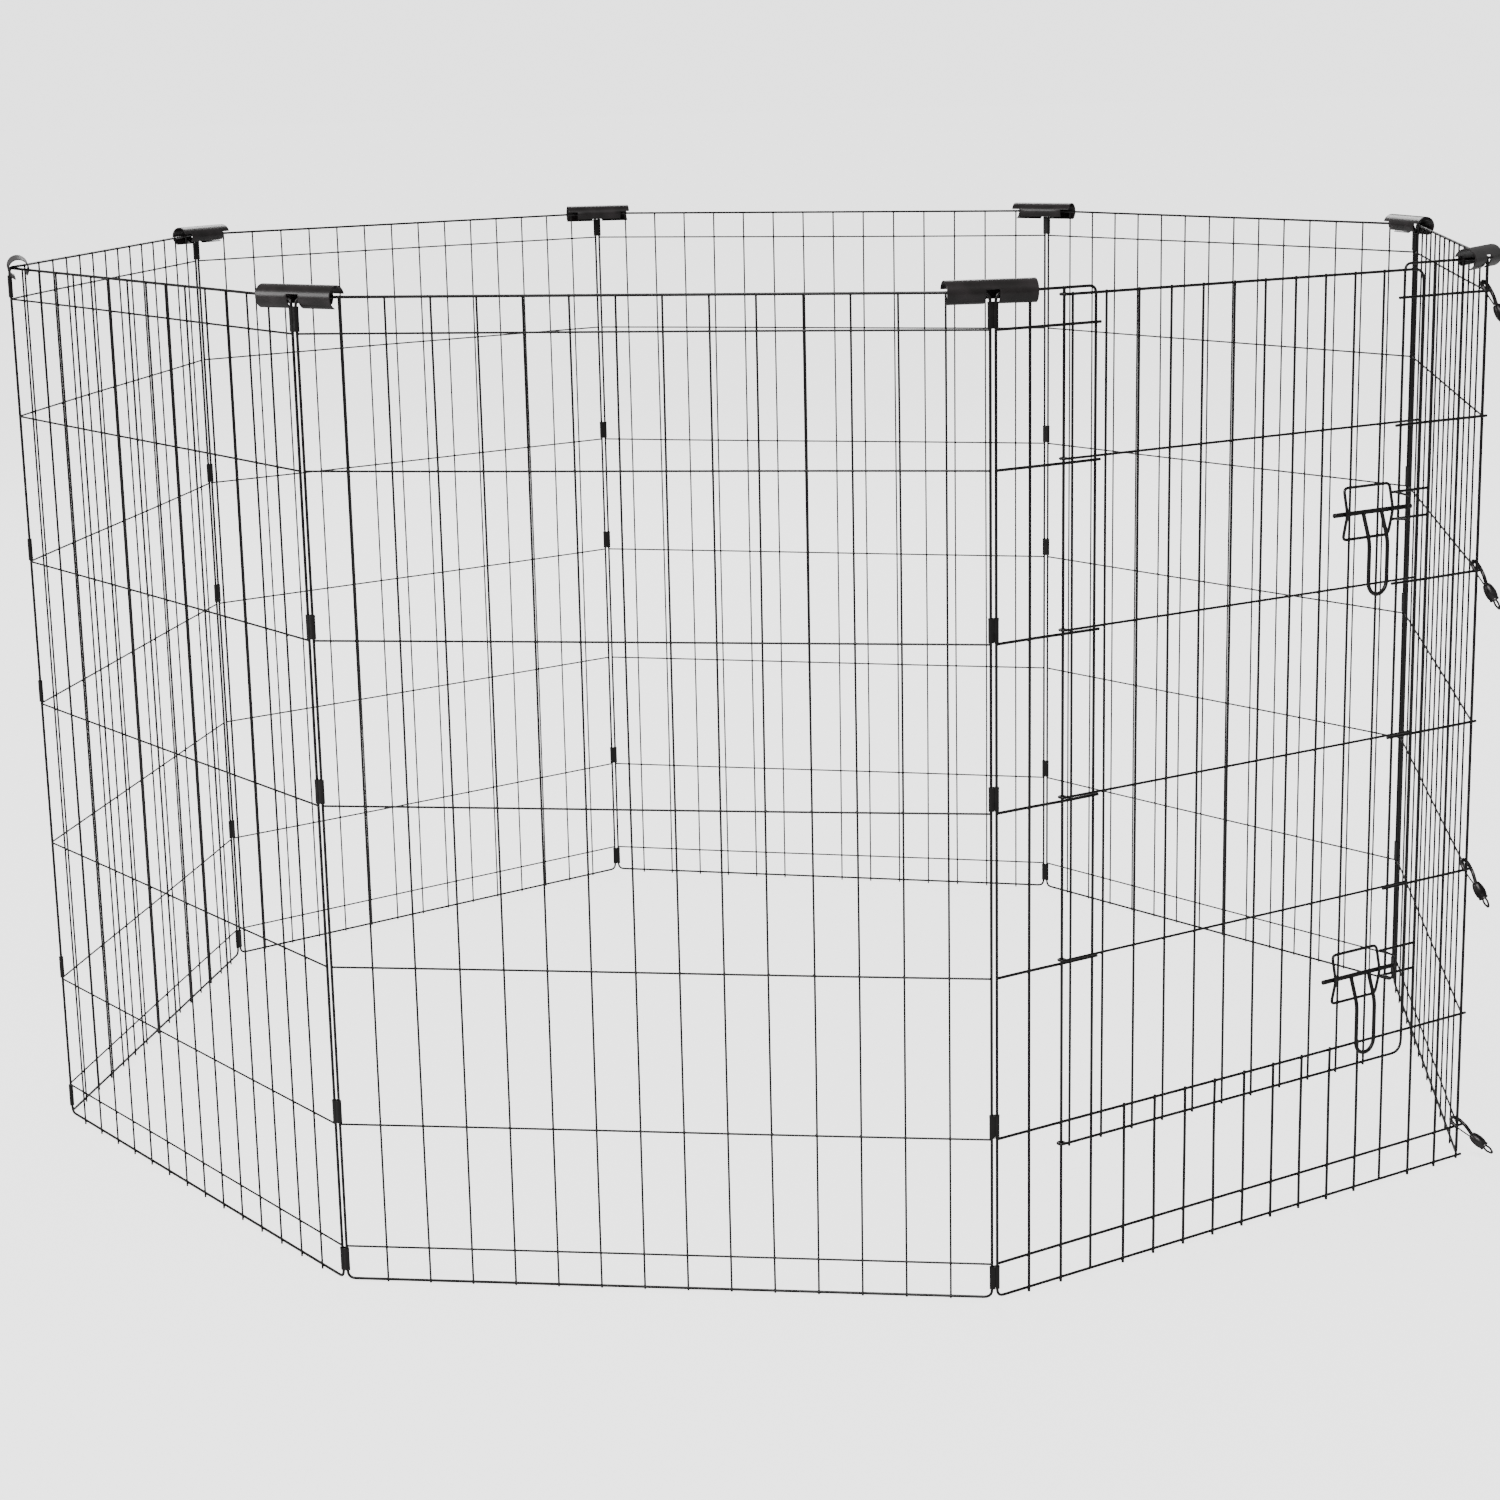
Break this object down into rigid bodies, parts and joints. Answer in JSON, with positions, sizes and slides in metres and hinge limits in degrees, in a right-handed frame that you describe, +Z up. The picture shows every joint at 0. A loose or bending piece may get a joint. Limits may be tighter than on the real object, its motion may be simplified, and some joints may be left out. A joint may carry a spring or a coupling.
{
  "type": "folding pet playpen",
  "caption": "Free-standing folding wire pen for a pet: panels hinged in sleeves, a latched door in one panel, edge caps and snap hooks.",
  "frame": {"origin": "middle of the footprint, on the floor", "axes": "+Z up, -Y out through the door panel, +X along the door panel away from the door hinge"},
  "size_m": [1.5056, 1.5733, 0.9251],
  "materials": {
    "wire_coat": "satin black dip coat",
    "cap_coat": "satin brown-black coat",
    "snap_steel": "dark plated steel"
  },
  "bodies": {
    "panel_6": {"panel_6": "wire_coat"},
    "panel_7": {"panel_7": "wire_coat", "sleeve_g1": "wire_coat", "sleeve_g2": "wire_coat", "sleeve_g3": "wire_coat", "sleeve_g4": "wire_coat"},
    "cap_g": {"cap_g": "cap_coat"},
    "panel_8": {"panel_8": "wire_coat", "sleeve_h1": "wire_coat", "sleeve_h2": "wire_coat", "sleeve_h3": "wire_coat", "sleeve_h4": "wire_coat"},
    "cap_h": {"cap_h": "cap_coat"},
    "door_panel": {"door_panel": "wire_coat", "sleeve_a1": "wire_coat", "sleeve_a2": "wire_coat", "sleeve_a3": "wire_coat", "sleeve_a4": "wire_coat"},
    "cap_a": {"cap_a": "cap_coat"},
    "panel_5": {"panel_5": "wire_coat", "sleeve_f1": "wire_coat", "sleeve_f2": "wire_coat", "sleeve_f3": "wire_coat", "sleeve_f4": "wire_coat"},
    "cap_f": {"cap_f": "cap_coat"},
    "panel_4": {"panel_4": "wire_coat", "sleeve_e1": "wire_coat", "sleeve_e2": "wire_coat", "sleeve_e3": "wire_coat", "sleeve_e4": "wire_coat"},
    "cap_e": {"cap_e": "cap_coat"},
    "panel_3": {"panel_3": "wire_coat", "sleeve_d1": "wire_coat", "sleeve_d2": "wire_coat", "sleeve_d3": "wire_coat", "sleeve_d4": "wire_coat"},
    "cap_d": {"cap_d": "cap_coat"},
    "panel_2": {"panel_2": "wire_coat", "sleeve_c1": "wire_coat", "sleeve_c2": "wire_coat", "sleeve_c3": "wire_coat", "sleeve_c4": "wire_coat"},
    "cap_c": {"cap_c": "cap_coat"},
    "cap_b": {"cap_b": "cap_coat"},
    "snaps": {"snap_1": "snap_steel", "snap_2": "snap_steel", "snap_3": "snap_steel", "snap_4": "snap_steel"},
    "door": {"door": "wire_coat"},
    "lower_bolt": {"lower_bolt_rod": "wire_coat"},
    "lower_handle": {"lower_bolt_handle": "wire_coat"},
    "upper_bolt": {"upper_bolt_rod": "wire_coat"},
    "upper_handle": {"upper_bolt_handle": "wire_coat"},
    "gate_1": {"snap_gate_1": "snap_steel"},
    "gate_2": {"snap_gate_2": "snap_steel"},
    "gate_3": {"snap_gate_3": "snap_steel"},
    "gate_4": {"snap_gate_4": "snap_steel"}
  },
  "joints": [
    {"name": "fold_g", "type": "hinge", "parent": "panel_6", "child": "panel_7", "pos_m": [-0.73709, 0.26224, 0], "axis": [0, 0, -1], "range_deg": [0, 44.34]},
    {"name": "cap_g_lift", "type": "slide", "parent": "panel_7", "child": "cap_g", "axis": [0, 0, 1], "range_m": [0, 0.23]},
    {"name": "fold_h", "type": "hinge", "parent": "panel_7", "child": "panel_8", "pos_m": [-0.71637, -0.34624, 0], "axis": [0, 0, -1], "range_deg": [0, 168]},
    {"name": "cap_h_lift", "type": "slide", "parent": "panel_8", "child": "cap_h", "axis": [0, 0, 1], "range_m": [0, 0.2]},
    {"name": "fold_a", "type": "hinge", "parent": "panel_8", "child": "door_panel", "pos_m": [-0.26455, -0.75425, 0], "axis": [0, 0, 1], "range_deg": [0, 124]},
    {"name": "cap_a_lift", "type": "slide", "parent": "door_panel", "child": "cap_a", "axis": [0, 0, 1], "range_m": [0, 0.2]},
    {"name": "fold_f", "type": "hinge", "parent": "panel_6", "child": "panel_5", "pos_m": [-0.33114, 0.70974, 0], "axis": [0, 0, 1], "range_deg": [0, 42.49]},
    {"name": "cap_f_lift", "type": "slide", "parent": "panel_5", "child": "cap_f", "axis": [0, 0, 1], "range_m": [0, 0.23]},
    {"name": "fold_e", "type": "hinge", "parent": "panel_5", "child": "panel_4", "pos_m": [0.27497, 0.7678, 0], "axis": [0, 0, 1], "range_deg": [0, 52.6]},
    {"name": "cap_e_lift", "type": "slide", "parent": "panel_4", "child": "cap_e", "axis": [0, 0, 1], "range_m": [0, 0.26]},
    {"name": "fold_d", "type": "hinge", "parent": "panel_4", "child": "panel_3", "pos_m": [0.68924, 0.32204, 0], "axis": [0, 0, 1], "range_deg": [0, 168]},
    {"name": "cap_d_lift", "type": "slide", "parent": "panel_3", "child": "cap_d", "axis": [0, 0, 1], "range_m": [0, 0.26]},
    {"name": "fold_c", "type": "hinge", "parent": "panel_3", "child": "panel_2", "pos_m": [0.73869, -0.28497, 0], "axis": [0, 0, 1], "range_deg": [0, 44.5]},
    {"name": "cap_c_lift", "type": "slide", "parent": "panel_2", "child": "cap_c", "axis": [0, 0, 1], "range_m": [0, 0.29]},
    {"name": "cap_b_lift", "type": "slide", "parent": "door_panel", "child": "cap_b", "axis": [0, 0, 1], "range_m": [0, 0.29]},
    {"name": "snaps_off", "type": "slide", "parent": "door_panel", "child": "snaps", "axis": [0, -1, 0], "range_m": [0, 0.2]},
    {"name": "door_swing", "type": "hinge", "parent": "door_panel", "child": "door", "pos_m": [-0.18634, -0.7586, 0], "axis": [0, 0, -1], "range_deg": [0, 130]},
    {"name": "lower_bolt_slide", "type": "slide", "parent": "door", "child": "lower_bolt", "axis": [-1, 0, 0], "range_m": [0, 0.017]},
    {"name": "lower_handle_turn", "type": "hinge", "parent": "lower_bolt", "child": "lower_handle", "pos_m": [0.18446, -0.76815, 0.231], "axis": [-1, 0, 0], "range_deg": [0, 120]},
    {"name": "upper_bolt_slide", "type": "slide", "parent": "door", "child": "upper_bolt", "axis": [-1, 0, 0], "range_m": [0, 0.017]},
    {"name": "upper_handle_turn", "type": "hinge", "parent": "upper_bolt", "child": "upper_handle", "pos_m": [0.18446, -0.76815, 0.6865], "axis": [-1, 0, 0], "range_deg": [0, 120]},
    {"name": "gate_1_turn", "type": "hinge", "parent": "snaps", "child": "gate_1", "pos_m": [0.34847, -0.76997, 0.0271], "axis": [-0.2424, 0.5198, -0.8192], "range_deg": [0, 20], "stiffness_Nm_per_rad": 0.003},
    {"name": "gate_2_turn", "type": "hinge", "parent": "snaps", "child": "gate_2", "pos_m": [0.34623, -0.76518, 0.29408], "axis": [-0.3584, 0.7686, -0.5299], "range_deg": [0, 20], "stiffness_Nm_per_rad": 0.003},
    {"name": "gate_3_turn", "type": "hinge", "parent": "snaps", "child": "gate_3", "pos_m": [0.34623, -0.76518, 0.59778], "axis": [-0.3584, 0.7686, -0.5299], "range_deg": [0, 20], "stiffness_Nm_per_rad": 0.003},
    {"name": "gate_4_turn", "type": "hinge", "parent": "snaps", "child": "gate_4", "pos_m": [0.34623, -0.76518, 0.86978], "axis": [-0.3584, 0.7686, -0.5299], "range_deg": [0, 20], "stiffness_Nm_per_rad": 0.003}
  ],
  "couplings": [
    {"joint": "cap_g_lift", "follows": "fold_g", "m_per_rad": 0.29719},
    {"joint": "cap_h_lift", "follows": "fold_h", "m_per_rad": 0.068206},
    {"joint": "cap_a_lift", "follows": "fold_a", "m_per_rad": 0.092408},
    {"joint": "cap_f_lift", "follows": "fold_f", "m_per_rad": 0.31015},
    {"joint": "cap_e_lift", "follows": "fold_e", "m_per_rad": 0.2832},
    {"joint": "cap_d_lift", "follows": "fold_d", "m_per_rad": 0.088669},
    {"joint": "cap_c_lift", "follows": "fold_c", "m_per_rad": 0.37338},
    {"joint": "cap_b_lift", "follows": "fold_a", "m_per_rad": 0.13399},
    {"joint": "snaps_off", "follows": "fold_a", "m_per_rad": 0.092408}
  ]
}
